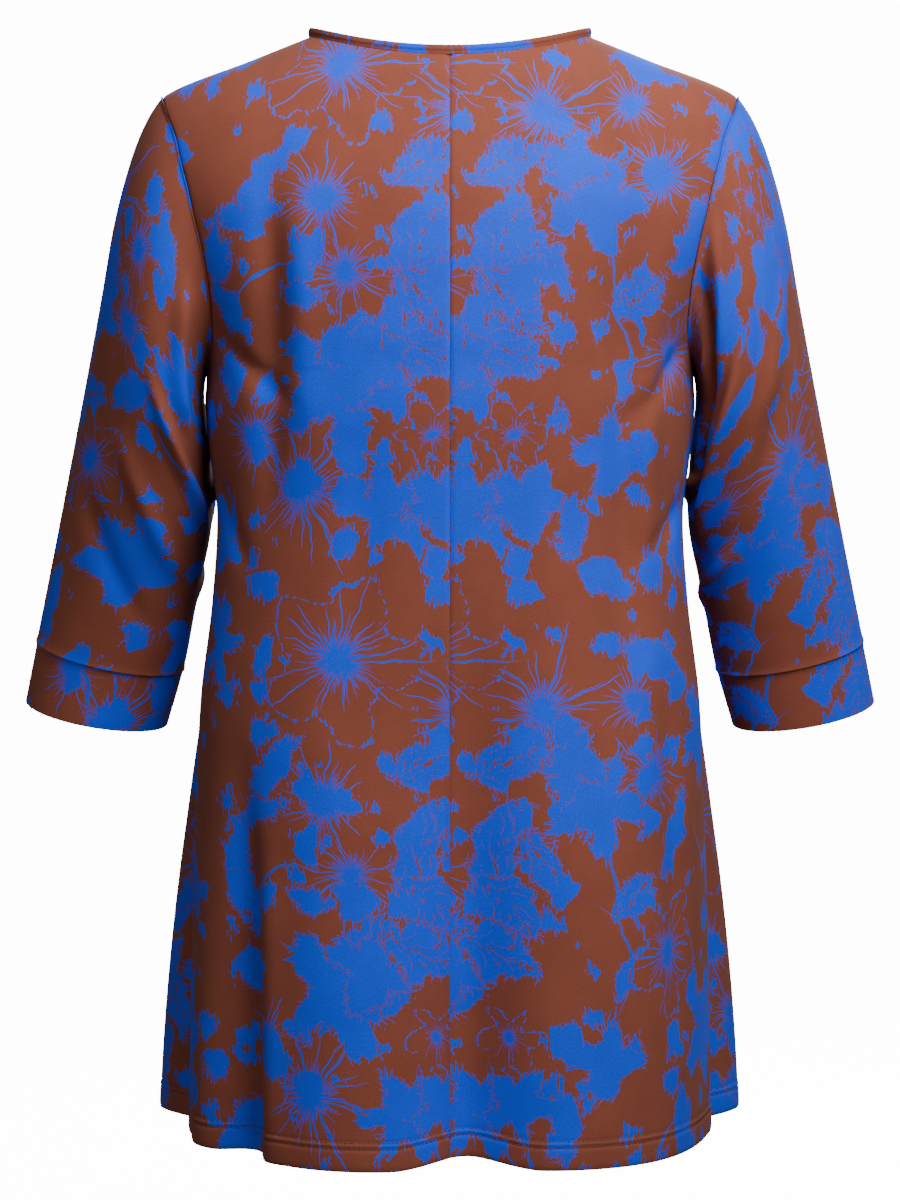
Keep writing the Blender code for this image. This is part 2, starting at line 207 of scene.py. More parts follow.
# ---------------------------------------------------------------- the floral print
# One repeat of the print, in metres: kind, across, up, turn, size, slimness or petals.
# Leaves are drawn along their turn; blooms have that many petals.
REPEAT_WIDTH = 0.460
REPEAT_HEIGHT = 0.428
MOTIFS = (
    ("bloom", -0.080, -0.262, 10, 0.040, 5),
    ("bloom", -0.060, -0.245, 80, 0.026, 4),
    ("bloom", 0.048, -0.132, 30, 0.031, 5),
    ("bloom", 0.030, -0.104, 60, 0.020, 4),
    ("bloom", -0.038, -0.350, 0, 0.027, 6),
    ("bloom", -0.004, -0.344, 50, 0.024, 5),
    ("bloom", 0.060, -0.312, 40, 0.024, 4),
    ("bloom", 0.190, -0.300, 20, 0.034, 5),
    ("bloom", 0.172, -0.085, 70, 0.030, 5),
    ("bloom", -0.195, -0.018, 15, 0.026, 5),
    ("leaf", -0.020, -0.160, 64, 0.040, 0.55),
    ("leaf", -0.016, -0.104, 22, 0.034, 0.46),
    ("leaf", -0.014, -0.206, -42, 0.034, 0.62),
    ("leaf", -0.020, -0.238, -24, 0.036, 0.52),
    ("leaf", 0.012, -0.176, -58, 0.032, 0.44),
    ("leaf", -0.135, -0.112, 48, 0.040, 0.24),
    ("leaf", -0.152, -0.140, 14, 0.034, 0.28),
    ("leaf", -0.176, -0.170, 78, 0.026, 0.44),
    ("leaf", -0.168, -0.206, 118, 0.026, 0.50),
    ("leaf", -0.172, -0.256, 100, 0.022, 0.52),
    ("leaf", 0.030, -0.364, 84, 0.026, 0.46),
    ("leaf", 0.056, -0.400, -14, 0.028, 0.46),
    ("leaf", 0.082, -0.200, 36, 0.026, 0.60),
    ("leaf", 0.076, -0.256, 70, 0.018, 0.60),
    ("leaf", 0.126, -0.156, 66, 0.034, 0.34),
    ("leaf", 0.140, -0.366, 96, 0.036, 0.36),
    ("leaf", 0.214, -0.196, 130, 0.036, 0.40),
    ("leaf", -0.190, -0.372, 60, 0.034, 0.40),
    ("leaf", -0.105, -0.200, -20, 0.022, 0.40),
    ("leaf", 0.100, -0.030, 160, 0.034, 0.40),
)
# Thin curved stems: centre across and up, radius, turn of the middle, half of its sweep.
STEMS = (
    (-0.112, -0.238, 0.062, 118, 34),
    (-0.176, -0.330, 0.048, 20, 44),
    (0.118, -0.168, 0.058, 196, 40),
    (0.028, -0.250, 0.052, 12, 46),
    (0.150, -0.404, 0.050, 150, 42),
    (-0.052, -0.418, 0.056, 60, 36),
    (0.206, -0.120, 0.060, 250, 34),
)
# Open flowers left in the ground colour: across, up, turn, petal reach, petals.
OPEN_FLOWERS = (
    (-0.080, -0.030, 20, 0.050, 5),
    (-0.012, -0.298, 0, 0.021, 6),
    (0.118, -0.240, 50, 0.036, 5),
    (0.222, -0.014, 30, 0.030, 5),
)
# Sketched bursts of strokes: across, up, longest stroke, share that is solid.
BURSTS = (
    (-0.080, -0.030, 0.038, 0.26),
    (-0.012, -0.298, 0.010, 0.40),
    (0.118, -0.240, 0.026, 0.30),
    (0.222, -0.014, 0.020, 0.30),
    (0.010, -0.066, 0.034, 0.30),
    (-0.108, -0.336, 0.036, 0.28),
    (-0.074, -0.182, 0.024, 0.30),
    (-0.092, -0.130, 0.028, 0.42),
    (0.096, -0.112, 0.030, 0.28),
    (-0.150, -0.300, 0.026, 0.25),
    (0.076, -0.060, 0.019, 0.45),
)


FLOOR_Z = -1.15
PAPER_WHITE = 14.0          # brightness of the white floor and surround
SURROUND_LIGHT = 0.12       # light that the surround gives the cloth
PARTING = 0.0016            # line of ground colour between overlapping shapes
PARTING_DEPTH = 0.0045      # how firmly that line is drawn through the scattered strokes
VEINED_LEAF = 0.014         # leaves wider than this have veins


def table_value(table, columns, name, position):
    """Read one column of a section table at a position, on a smooth curve through its rows."""
    at = columns.index(name)
    last = len(table) - 1
    position = min(max(position, table[0][0]), table[last][0])
    low = min(max(bisect.bisect_right(table, position, key=lambda row: row[0]) - 1, 0), last - 1)

    def slope(i):
        before, after = max(i - 1, 0), min(i + 1, last)
        return (table[after][at] - table[before][at]) / (table[after][0] - table[before][0])

    span = table[low + 1][0] - table[low][0]
    t = (position - table[low][0]) / span
    return (
        table[low][at] * (1 + 2 * t) * (1 - t) ** 2
        + slope(low) * span * t * (1 - t) ** 2
        + table[low + 1][at] * t * t * (3 - 2 * t)
        + slope(low + 1) * span * t * t * (t - 1)
    )


def torso_size(name, height):
    return table_value(TORSO, TORSO_COLUMNS, name, height)


def sleeve_size(name, along):
    return table_value(SLEEVE, SLEEVE_COLUMNS, name, along)


def mix(start, end, share):
    return start + (end - start) * share


def ease(share):
    share = min(max(share, 0.0), 1.0)
    return share * share * (3 - 2 * share)


# ---------------------------------------------------------------- the torso's surface
def flute_depth(angle, height):
    depth = 0.0
    for centre, half_width, hem_depth, top in FLUTES:
        away = (angle - centre + 180) % 360 - 180
        below = top - height
        opened = (below + math.hypot(below, FLUTE_ONSET)) / 2 / (top - BACK_HEM_Z)
        grown = 1 - max(1 - opened, 0.0) ** FLUTE_SWELL
        depth += hem_depth * grown * math.exp(-((away / half_width) ** 2))
    return depth


def hem_z(angle):
    end = BACK_HEM_Z if abs(angle) < 90 else FRONT_HEM_Z
    level = mix(SIDE_HEM_Z, end, abs(math.cos(math.radians(angle))))
    return level - HEM_LIFT * min(flute_depth(angle, level), 0.0)


def torso_point(angle, height):
    turn = math.radians(angle)
    half_width = torso_size("half_width", height)
    half_depth = torso_size("half_depth", height)
    swell = 1 + torso_size("fullness", height) * math.sin(2 * turn) ** 2
    out = Vector((math.sin(turn) / half_width, -math.cos(turn) / half_depth, 0)).normalized()
    point = Vector((
        half_width * swell * math.sin(turn),
        torso_size("centre_y", height) - half_depth * swell * math.cos(turn),
        height,
    ))
    return point + out * flute_depth(angle, height)


def armhole_angle(height):
    if height >= TIP_Z or height <= UNDERARM_Z:
        return 90.0
    rise = abs(height - YOKE_Z) / (TIP_Z - YOKE_Z)
    depth = ARMHOLE_HALF_DEPTH * (1 - rise ** ARMHOLE_FULLNESS) ** (1 / ARMHOLE_FULLNESS)
    return math.degrees(math.acos(depth / torso_size("half_depth", height)))


def angle_at_x(x, height):
    angle = 90.0
    half_width = torso_size("half_width", height)
    fullness = torso_size("fullness", height)
    for _ in range(6):
        swell = 1 + fullness * math.sin(2 * math.radians(angle)) ** 2
        angle = math.degrees(math.asin(min(x / (half_width * swell), 1.0)))
    return angle


def top_edge(across, is_front):
    """Half width and height of a panel's top edge: the neckline, then the shoulder seam."""
    if across > NECK_SHARE:
        height = mix(NECK_Z, TIP_Z, (across - NECK_SHARE) / (1 - NECK_SHARE))
        return torso_size("half_width", height), height
    turn = math.pi / 2 * across / NECK_SHARE
    drop = FRONT_NECK_DROP if is_front else BACK_NECK_DROP
    curve = FRONT_NECK_CURVE if is_front else BACK_NECK_CURVE
    fall = drop * max(math.cos(turn), 0.0) ** curve
    return torso_size("half_width", NECK_Z) * math.sin(turn), NECK_Z - fall


def panel_place(across, level, is_front):
    """Angle from the panel's centre, and height, for a share of the width and a side level."""
    if level > YOKE_Z:
        top_x, top_z = top_edge(across, is_front)
        down = (TIP_Z - level) / (TIP_Z - YOKE_Z)
        height = mix(top_z, YOKE_Z, down)
        edge_x = torso_point(armhole_angle(level), level).x
        yoke_angle = armhole_angle(YOKE_Z)
        yoke_share = torso_point(yoke_angle * across, YOKE_Z).x / torso_point(yoke_angle, YOKE_Z).x
        tip_share = top_x / torso_size("half_width", TIP_Z)
        if across >= 1:
            return armhole_angle(level), height
        return angle_at_x(edge_x * mix(tip_share, yoke_share, down), height), height
    return armhole_angle(level) * across, level


def panel_point(across, level, side, is_front):
    angle, height = panel_place(across, level, is_front)
    if level <= YOKE_Z:
        lowered = (level - YOKE_Z) / (SIDE_HEM_Z - YOKE_Z)
        hem_here = hem_z(side * (180 - angle if is_front else angle))
        height += (hem_here - SIDE_HEM_Z) * lowered ** 2
    return torso_point(side * (180 - angle if is_front else angle), height)


# ---------------------------------------------------------------- the sleeve's surface
def armhole_point(ring_turn, side):
    height = YOKE_Z + (TIP_Z - YOKE_Z) * math.cos(ring_turn)
    angle = armhole_angle(height)
    if math.sin(ring_turn) < 0:
        angle = 180 - angle
    return torso_point(side * angle, height)


def sleeve_point(ring_turn, along, side, shrink=0.0):
    outer = Vector((sleeve_size("outer_x", along), 0, sleeve_size("outer_z", along)))
    inner = Vector((sleeve_size("inner_x", along), 0, sleeve_size("inner_z", along)))
    reach = (outer - inner) / 2
    half_depth = sleeve_size("half_depth", along) - shrink
    middle = (outer + inner) / 2
    reach *= 1 - shrink / reach.length
    back = half_depth * math.sin(ring_turn)
    tilt = FORWARD_TILT * min(along / SLEEVE_BLEND, 1.0)
    tube = middle + reach * math.cos(ring_turn)
    tube += Vector((0, sleeve_size("centre_y", along) - back, -tilt * back))
    tube.x *= side
    own_shape = max(0.0, 1 - along / SLEEVE_BLEND) ** 2
    return tube.lerp(armhole_point(ring_turn, side), own_shape) if own_shape else tube


FOLD_DEPTH = 2.3            # all the folds deepen together


def fold_rise(folds, across, up, scale=(1.0, 1.0)):
    """How far the folds lift the cloth at a place; scale turns the table's units into metres."""
    rise = 0.0
    for x0, y0, x1, y1, half_width, height in folds:
        run = Vector(((x1 - x0) * scale[0], (y1 - y0) * scale[1]))
        here = Vector(((across - x0) * scale[0], (up - y0) * scale[1]))
        t = here.dot(run) / run.length_squared
        if -0.2 < t < 1.2:
            away = abs(run.x * here.y - run.y * here.x) / run.length
            if away < 3 * half_width:
                taper = ease((t + 0.2) / 0.45) * ease((1.2 - t) / 0.45)
                rise += FOLD_DEPTH * height * taper * math.exp(-((away / half_width) ** 2))
    return rise


# ---------------------------------------------------------------- cloth grids
def even_shares(length, cell, fine_start=(), fine_end=()):
    """Shares of a length: small distances from either end first, then even cells between."""
    start = [0.0, *fine_start]
    end = [length - d for d in reversed((0.0, *fine_end))]
    count = max(int(round((end[0] - start[-1]) / cell)), 1)
    middle = [mix(start[-1], end[0], i / count) for i in range(1, count)]
    return [d / length for d in (*start, *middle, *end)]


EDGE_CELLS = (0.0007, 0.0015, 0.0026, 0.0042)
ON_CENTRE = 0.000002          # a point this near the centre plane lies on it
SEAM_HOLD = 0.014             # how far from a sewn edge folds take to reach their full depth
HEM_CELLS = (0.001, 0.002, 0.0035, 0.0055, 0.0085, 0.0115, 0.0135, 0.0145, 0.0155, 0.0165,
             0.0175, 0.0185, 0.0195, 0.0205, 0.0215, 0.0225, 0.0240, 0.0270)


def seam_dip(distance, depth=0.0013, reach=0.0021):
    """Cloth drawn in at a seam, by distance from the sewn edge."""
    return -depth * math.exp(-((distance / reach) ** 2))


def held_at_seam(distance):
    """Folds die out towards a sewn edge, where the next piece holds the cloth."""
    return ease(distance / SEAM_HOLD)


def lay_cloth(name, across_shares, down_shares, place, raise_by, closed=False):
    """Lay a grid on a surface, unroll its UV map, push it along its normals and name it.

    place(across, down) gives the point and the cloth place; raise_by(across, down) the lift.
    """
    columns, rows = len(across_shares) - 1, len(down_shares) - 1
    cloth = bmesh.new()
    bmesh.ops.create_grid(cloth, x_segments=columns, y_segments=rows, size=0.5)
    column_at = cloth.verts.layers.int.new("column_at")
    row_at = cloth.verts.layers.int.new("row_at")
    on_cloth = cloth.verts.layers.float_vector.new("on_cloth")
    for vert in cloth.verts:
        vert[column_at] = round((vert.co.x + 0.5) * columns)
        vert[row_at] = round((0.5 - vert.co.y) * rows)
        vert.co, unrolled = place(across_shares[vert[column_at]], down_shares[vert[row_at]])
        vert[on_cloth] = (unrolled[0], unrolled[1], 0)
    uv = cloth.loops.layers.uv.new(UV_NAME)
    for face in cloth.faces:
        for loop in face.loops:
            loop[uv].uv = loop.vert[on_cloth].xy
    if closed:
        bmesh.ops.remove_doubles(cloth, verts=cloth.verts[:], dist=0.00002)
    cloth.normal_update()
    for vert in cloth.verts:
        # Both halves lift their centre edges straight back or forward, so that they still meet.
        if abs(vert.co.x) < ON_CENTRE:
            vert.normal = Vector((0, vert.normal.y, vert.normal.z)).normalized()
    lifted = [(v, v.normal * raise_by(across_shares[v[column_at]], down_shares[v[row_at]]))
              for v in cloth.verts]
    for vert, lift in lifted:
        vert.co += lift
    mesh = bpy.data.meshes.new(name)
    cloth.to_mesh(mesh)
    cloth.free()
    for spare in ("column_at", "row_at", "on_cloth"):
        mesh.attributes.remove(mesh.attributes[spare])
    mesh.shade_smooth()
    return mesh


def turned_out(mesh, outside):
    """Turn the faces round where they look inwards; outside(point) is a rough outward direction."""
    middle = mesh.polygons[len(mesh.polygons) // 3]
    if middle.normal.dot(outside(middle.center)) < 0:
        mesh.flip_normals()


def add_piece(name, mesh, material, nodes=(), wall=None):
    """Link a finished piece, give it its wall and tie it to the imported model."""
    mesh.materials.append(material)
    piece = bpy.data.objects.new(name, mesh)
    bpy.context.scene.collection.objects.link(piece)
    if wall:
        solidify = piece.modifiers.new("wall", "SOLIDIFY")
        solidify.thickness = wall
        solidify.offset = -1.0
        solidify.use_rim = True
    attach(piece, BODY)
    if nodes:
        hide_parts(*nodes)
    return piece


def unrolled_rows(across_shares, down_shares, point, start_at):
    """Horizontal distance round the cloth at each grid place, from the column at start_at."""
    rows = {}
    for down in down_shares:
        points = [point(across, down) for across in across_shares]
        distances = [0.0]
        for a, b in zip(points, points[1:]):
            distances.append(distances[-1] + (b - a).length)
        zero = distances[start_at]
        rows[down] = ({s: d - zero for s, d in zip(across_shares, distances)},
                      dict(zip(across_shares, points)))
    return rows


# ---------------------------------------------------------------- materials
class Nodes:
    """Small helper that adds nodes to a material's tree and links what it is given."""

    def __init__(self, tree):
        self.tree = tree

    def make(self, kind, inputs=(), **settings):
        node = self.tree.nodes.new(kind)
        for key, value in settings.items():
            setattr(node, key, value)
        for key, value in dict(inputs).items():
            if isinstance(value, bpy.types.NodeSocket):
                self.tree.links.new(value, node.inputs[key])
            else:
                node.inputs[key].default_value = value
        return node

    def math(self, operation, *values, clamp=False):
        node = self.make("ShaderNodeMath", dict(enumerate(values)), operation=operation)
        node.use_clamp = clamp
        return node.outputs[0]

    def vector(self, operation, *values):
        node = self.make("ShaderNodeVectorMath", dict(enumerate(values)), operation=operation)
        return node.outputs["Value" if operation in ("DOT_PRODUCT", "LENGTH") else "Vector"]

    def noise(self, place, scale, detail=1.0, output="Fac", rough=0.5):
        node = self.make("ShaderNodeTexNoise", {"Vector": place, "Scale": scale, "Detail": detail,
                                                "Roughness": rough}, noise_dimensions="2D")
        return node.outputs[output]

    def stretched(self, place, turn, across, along):
        """The place turned and scaled, for strokes that run one way."""
        node = self.make("ShaderNodeMapping", {"Vector": place, "Rotation": (0, 0, turn),
                                               "Scale": (across, along, 1)}, vector_type="POINT")
        return node.outputs[0]


def motif_offset(draw, place, across, up):
    """Vector from a motif's centre to here, within one repeat of the print."""
    away = draw.vector("SUBTRACT", place, (across, up, 0))
    half = (REPEAT_WIDTH / 2, REPEAT_HEIGHT / 2, 1)
    return draw.make("ShaderNodeVectorMath", {0: away, 1: half, 2: tuple(-h for h in half)},
                     operation="WRAP").outputs["Vector"]


def polar(draw, offset):
    split = draw.make("ShaderNodeSeparateXYZ", {0: offset})
    return (draw.vector("LENGTH", offset),
            draw.math("ARCTAN2", split.outputs[1], split.outputs[0]))


def pen_strokes(draw, place):
    """Uneven strokes along one direction, about half on average."""
    return draw.make("ShaderNodeTexNoise", {"W": place, "Scale": 1.0, "Detail": 1.0,
                                            "Roughness": 0.7},
                     noise_dimensions="1D").outputs["Fac"]


def leaf_field(draw, offset, turn, size, slim):
    """Inside a leaf the field is positive, roughly the distance from its edge."""
    turn = math.radians(turn)
    along = draw.vector("DOT_PRODUCT", offset,
                        (math.cos(turn) / size, math.sin(turn) / size, 0))
    width = size * slim
    aside = draw.vector("DOT_PRODUCT", offset,
                        (-math.sin(turn) / width, math.cos(turn) / width, 0))
    fat = draw.math("MULTIPLY_ADD", draw.math("MULTIPLY", along, along), -1.0, 1.0)
    spread = draw.math("ABSOLUTE", aside)
    body = draw.math("MULTIPLY", draw.math("SUBTRACT", fat, spread), width * 0.7)
    slanted = draw.math("MULTIPLY_ADD", spread, -width * 330, draw.math("MULTIPLY", along,
                                                                      size * 560))
    teeth = pen_strokes(draw, slanted)
    return draw.math("ADD", body, draw.math("MULTIPLY_ADD", teeth, 0.010, -0.0054)), along, spread


def bloom_field(draw, offset, turn, size, petals, wave=0.20, ragged=0.0):
    """Inside a bloom the field is positive; ragged is the length of its edge strokes."""
    distance, bearing = polar(draw, offset)
    lobes = draw.math("COSINE", draw.math("MULTIPLY_ADD", bearing, float(petals),
                                          math.radians(turn)))
    reach = draw.math("MULTIPLY_ADD", lobes, size * wave, size)
    if ragged:
        teeth = pen_strokes(draw, draw.math("MULTIPLY", bearing, size * 420))
        reach = draw.math("ADD", reach, draw.math("MULTIPLY_ADD", teeth, ragged, -ragged * 0.5))
    return draw.math("SUBTRACT", reach, distance)


def burst_field(draw, offset, size, solid, seed):
    """Strokes that radiate from a centre, of uneven length."""
    distance, bearing = polar(draw, offset)
    strokes = draw.make("ShaderNodeTexNoise", {
        "W": draw.math("MULTIPLY_ADD", bearing, 9.0, 13.7 * seed), "Scale": 1.0, "Detail": 2.0,
        "Roughness": 0.75}, noise_dimensions="1D").outputs["Fac"]
    sharp = draw.math("POWER", draw.math("MULTIPLY", strokes, 1.45), 4.0)
    reach = draw.math("MULTIPLY_ADD", sharp, size, size * solid * 0.6)
    return draw.math("SUBTRACT", reach, distance)


def floral_mask(draw, cloth_place):
    """1 where the print is blue and 0 where the ground shows."""
    # Uneven outlines: a slow wander and a fine tremble of the place on the cloth.
    wander = draw.noise(cloth_place, 48.0, 1.0, "Color", 0.5)
    tremble = draw.noise(cloth_place, 380.0, 1.0, "Color")
    wandered = draw.vector("SUBTRACT", wander, (0.5, 0.5, 0.5))
    straight = draw.make("ShaderNodeVectorMath", {0: wandered, 1: (0.008, 0.008, 0),
                                                  2: cloth_place},
                         operation="MULTIPLY_ADD").outputs["Vector"]
    bent = draw.make("ShaderNodeVectorMath", {0: wandered, 1: (0.018, 0.018, 0),
                                              2: cloth_place},
                     operation="MULTIPLY_ADD").outputs["Vector"]
    place = draw.make("ShaderNodeVectorMath", {
        0: draw.vector("SUBTRACT", tremble, (0.5, 0.5, 0.5)), 1: (0.0030, 0.0030, 0),
        2: bent}, operation="MULTIPLY_ADD").outputs["Vector"]

    # Two sets of fine strokes give the edges their drawn, serrated look.
    rising = draw.noise(draw.stretched(straight, math.radians(28), 430.0, 95.0), 1.0, 1.0)
    falling = draw.noise(draw.stretched(straight, math.radians(-64), 430.0, 90.0), 1.0, 1.0)
    strokes = draw.math("MAXIMUM", rising, falling)

    field = None
    for kind, across, up, turn, size, shape in MOTIFS:
        offset = motif_offset(draw, place, across, up)
        if kind == "leaf":
            found, along, spread = leaf_field(draw, offset, turn, size, shape)
            if size * shape > VEINED_LEAF:
                # Midrib and side veins left in the ground colour.
                slant = draw.math("MULTIPLY_ADD", spread, -0.9, along)
                vein = draw.math("MULTIPLY", draw.math("PINGPONG", slant, 0.19), size * 1.5)
                rib = draw.math("MINIMUM", vein, draw.math("MULTIPLY", spread, size * shape))
                cut = draw.math("MULTIPLY_ADD", rib, 2.6, -0.0064)
                cut = draw.math("ADD", cut, draw.math("MULTIPLY", rising, 0.0104))
                found = draw.math("MINIMUM", found, cut)
        else:
            found = bloom_field(draw, offset, turn, size, shape, 0.30, 0.024)
        if field is None:
            field = found
        else:
            # A thin line of ground colour parts each shape from those under it.
            parted = draw.math("MULTIPLY_ADD", found, -PARTING_DEPTH / PARTING, -PARTING_DEPTH)
            field = draw.math("MAXIMUM", draw.math("MINIMUM", field, parted), found)

    # Scattered pen strokes break up the edges and wear small gaps in the solid shapes.
    field = draw.math("ADD", field, draw.math("MULTIPLY_ADD", strokes, 0.0062, -0.0035))

    # Small sprigs between the large motifs, one to a cell.
    cells = draw.make("ShaderNodeTexVoronoi", {"Vector": place, "Scale": 30.0,
                                               "Randomness": 0.9},
                      voronoi_dimensions="2D", feature="F1")
    chance = draw.make("ShaderNodeSeparateColor", {0: cells.outputs["Color"]})
    swing = draw.math("MULTIPLY_ADD", strokes, 0.55, -0.26)
    sprig = draw.math("SUBTRACT", draw.math("ADD", swing, 0.16), cells.outputs["Distance"])
    sprig = draw.math("ADD", sprig, draw.math("MULTIPLY_ADD", chance.outputs[0], 0.5, -0.30))
    field = draw.math("MAXIMUM", field, draw.math("MULTIPLY", sprig, 0.03))

    for across, up, turn, size, petals in OPEN_FLOWERS:
        offset = motif_offset(draw, place, across, up)
        petal = bloom_field(draw, offset, turn, size, petals, 0.24)
        field = draw.math("MINIMUM", field, draw.math("MULTIPLY", petal, -1.0))
        line = draw.math("SUBTRACT", 0.0011, draw.math("ABSOLUTE", petal))
        line = draw.math("ADD", line, draw.math("MULTIPLY_ADD", falling, 0.006, -0.0036))
        field = draw.math("MAXIMUM", field, line)

    for across, up, radius, middle, sweep in STEMS:
        distance, bearing = polar(draw, motif_offset(draw, straight, across, up))
        line = draw.math("ABSOLUTE", draw.math("SUBTRACT", distance, radius))
        middle = math.radians((middle + 180) % 360 - 180)
        off = draw.math("SUBTRACT", bearing, middle)
        past = draw.math("MULTIPLY_ADD", draw.math("ABSOLUTE", off), 0.0012 / math.radians(sweep),
                         line)
        field = draw.math("MAXIMUM", field, draw.math("SUBTRACT", 0.0013, past))

    for seed, (across, up, size, solid) in enumerate(BURSTS):
        offset = motif_offset(draw, straight, across, up)
        field = draw.math("MAXIMUM", field, burst_field(draw, offset, size, solid, seed + 1))

    return draw.make("ShaderNodeMapRange", {
        "Value": field, "From Min": -0.00035, "From Max": 0.00035},
        interpolation_type="SMOOTHSTEP").outputs[0]


def printed_jersey(colours):
    """Matt printed jersey with a fine knitted grain."""
    material = bpy.data.materials.new("floral_jersey")
    material.use_nodes = True
    tree = material.node_tree
    draw = Nodes(tree)
    shader = tree.nodes["Principled BSDF"]
    cloth_place = draw.make("ShaderNodeUVMap", uv_map=UV_NAME).outputs[0]
    printed = floral_mask(draw, cloth_place)
    grain = draw.noise(draw.stretched(cloth_place, 0.0, 900.0, 620.0), 1.0, 2.0, rough=0.7)
    cloudy = draw.noise(cloth_place, 26.0, 2.0)
    tone = draw.math("ADD", draw.math("MULTIPLY_ADD", grain, 0.44, 0.66),
                     draw.math("MULTIPLY", cloudy, 0.24))
    ink = draw.make("ShaderNodeMix", data_type="RGBA")
    tree.links.new(printed, ink.inputs[0])
    ink.inputs[6].default_value = (*colours.ground, 1.0)
    ink.inputs[7].default_value = (*colours.flowers, 1.0)
    toned = draw.vector("SCALE", ink.outputs[2])
    scale_node = toned.node
    tree.links.new(tone, scale_node.inputs["Scale"])
    tree.links.new(scale_node.outputs["Vector"], shader.inputs["Base Color"])
    rough = draw.math("MULTIPLY_ADD", grain, 0.16, 0.76)
    tree.links.new(rough, shader.inputs["Roughness"])
    bump = draw.make("ShaderNodeBump", {"Height": grain, "Strength": 0.35, "Distance": 0.0003})
    tree.links.new(bump.outputs[0], shader.inputs["Normal"])
    shader.inputs["Metallic"].default_value = 0.0
    shader.inputs["Sheen Weight"].default_value = 0.03
    shader.inputs["Sheen Roughness"].default_value = 0.6
    shader.inputs["Specular IOR Level"].default_value = 0.15
    return material


def thread_material(name, colour):
    """Twisted sewing thread."""
    material = bpy.data.materials.new(name)
    material.use_nodes = True
    tree = material.node_tree
    draw = Nodes(tree)
    shader = tree.nodes["Principled BSDF"]
    place = draw.make("ShaderNodeTexCoord").outputs["Object"]
    twist = draw.make("ShaderNodeTexNoise", {"Vector": place, "Scale": 1500.0, "Detail": 1.0})
    tone = draw.math("MULTIPLY_ADD", twist.outputs["Fac"], 0.6, 0.7)
    plain = draw.make("ShaderNodeVectorMath", {0: colour, "Scale": tone}, operation="SCALE")
    tree.links.new(plain.outputs["Vector"], shader.inputs["Base Color"])
    bump = draw.make("ShaderNodeBump", {"Height": twist.outputs["Fac"], "Strength": 0.4,
                                        "Distance": 0.0002})
    tree.links.new(bump.outputs[0], shader.inputs["Normal"])
    shader.inputs["Roughness"].default_value = 0.6
    shader.inputs["Sheen Weight"].default_value = 0.1
    return material


def shared(name, build):
    return bpy.data.materials.get(name) or build()


def jersey():
    colours = bpy.context.scene.tunic_colours
    return shared("floral_jersey", lambda: printed_jersey(colours))


def thread():
    colours = bpy.context.scene.tunic_colours
    return shared("hem_thread", lambda: thread_material("hem_thread", tuple(colours.thread)))


# ---------------------------------------------------------------- settings
class TunicColours(bpy.types.PropertyGroup):
    """Colours of the cloth and thread."""
    ground: FloatVectorProperty(
        name="Ground", description="Colour of the cloth between the flowers", subtype="COLOR",
        size=3, min=0.0, max=1.0, default=(0.240, 0.064, 0.038))
    flowers: FloatVectorProperty(
        name="Flowers", description="Colour of the printed flowers and leaves", subtype="COLOR",
        size=3, min=0.0, max=1.0, default=(0.012, 0.078, 0.770))
    thread: FloatVectorProperty(
        name="Thread", description="Colour of the sewing thread", subtype="COLOR", size=3,
        min=0.0, max=1.0, default=(0.110, 0.040, 0.030))


class TunicSizes(bpy.types.PropertyGroup):
    """Sizes of the cloth and its finishing."""
    wall: FloatProperty(
        name="Cloth", description="Thickness of the jersey", subtype="DISTANCE", default=0.0011,
        min=0.0005, max=0.003)
    binding: FloatProperty(
        name="Neck binding", description="Height of the neck binding", subtype="DISTANCE",
        default=0.0062, min=0.003, max=0.02)
    hem: FloatProperty(
        name="Hem", description="Depth of the turned hem", subtype="DISTANCE", default=0.0200,
        min=0.008, max=0.05)
    needle_gap: FloatProperty(
        name="Needle gap", description="Distance between the two rows of hem stitches",
        subtype="DISTANCE", default=0.0045, min=0.002, max=0.01)
    stitch: FloatProperty(
        name="Stitch", description="Length of one stitch with its gap", subtype="DISTANCE",
        default=0.0034, min=0.002, max=0.006)
    cell: FloatProperty(
        name="Cell", description="Size of the cloth grid's cells", subtype="DISTANCE",
        default=0.0045, min=0.003, max=0.02)
    sleeve_columns: IntProperty(
        name="Sleeve columns", description="Cells round each sleeve", default=104, min=24,
        max=200)


# ---------------------------------------------------------------- pieces
def panel_shares(sizes, both_sides):
    half = even_shares(0.25, sizes.cell, EDGE_CELLS, EDGE_CELLS)
    if not both_sides:
        return half
    side = even_shares(0.25, sizes.cell, (), EDGE_CELLS)
    return [0.5 - s / 2 for s in reversed(side)] + [0.5 + s / 2 for s in side[1:]]


def panel_levels(sizes):
    """Heights of the rows at a panel's side: close together near both ends of the armhole."""
    reach = TIP_Z - YOKE_Z
    arm_rows = 58
    levels = [YOKE_Z + reach * math.cos(math.pi * i / arm_rows) for i in range(arm_rows)]
    body = even_shares(UNDERARM_Z - SIDE_HEM_Z, sizes.cell, (), HEM_CELLS)
    return levels + [mix(UNDERARM_Z, SIDE_HEM_Z, s) for s in body]


def hem_shape(above_hem, sizes):
    """The turned hem stands slightly proud, and its two stitch rows draw the cloth in."""
    lift = 0.0006 * ease((sizes.hem + 0.002 - above_hem) / 0.003)
    for row in (sizes.hem, sizes.hem - sizes.needle_gap):
        lift -= 0.0007 * math.exp(-(((above_hem - row) / 0.0011) ** 2))
    lift -= 0.0006 * math.exp(-((above_hem / 0.0016) ** 2))
    return lift


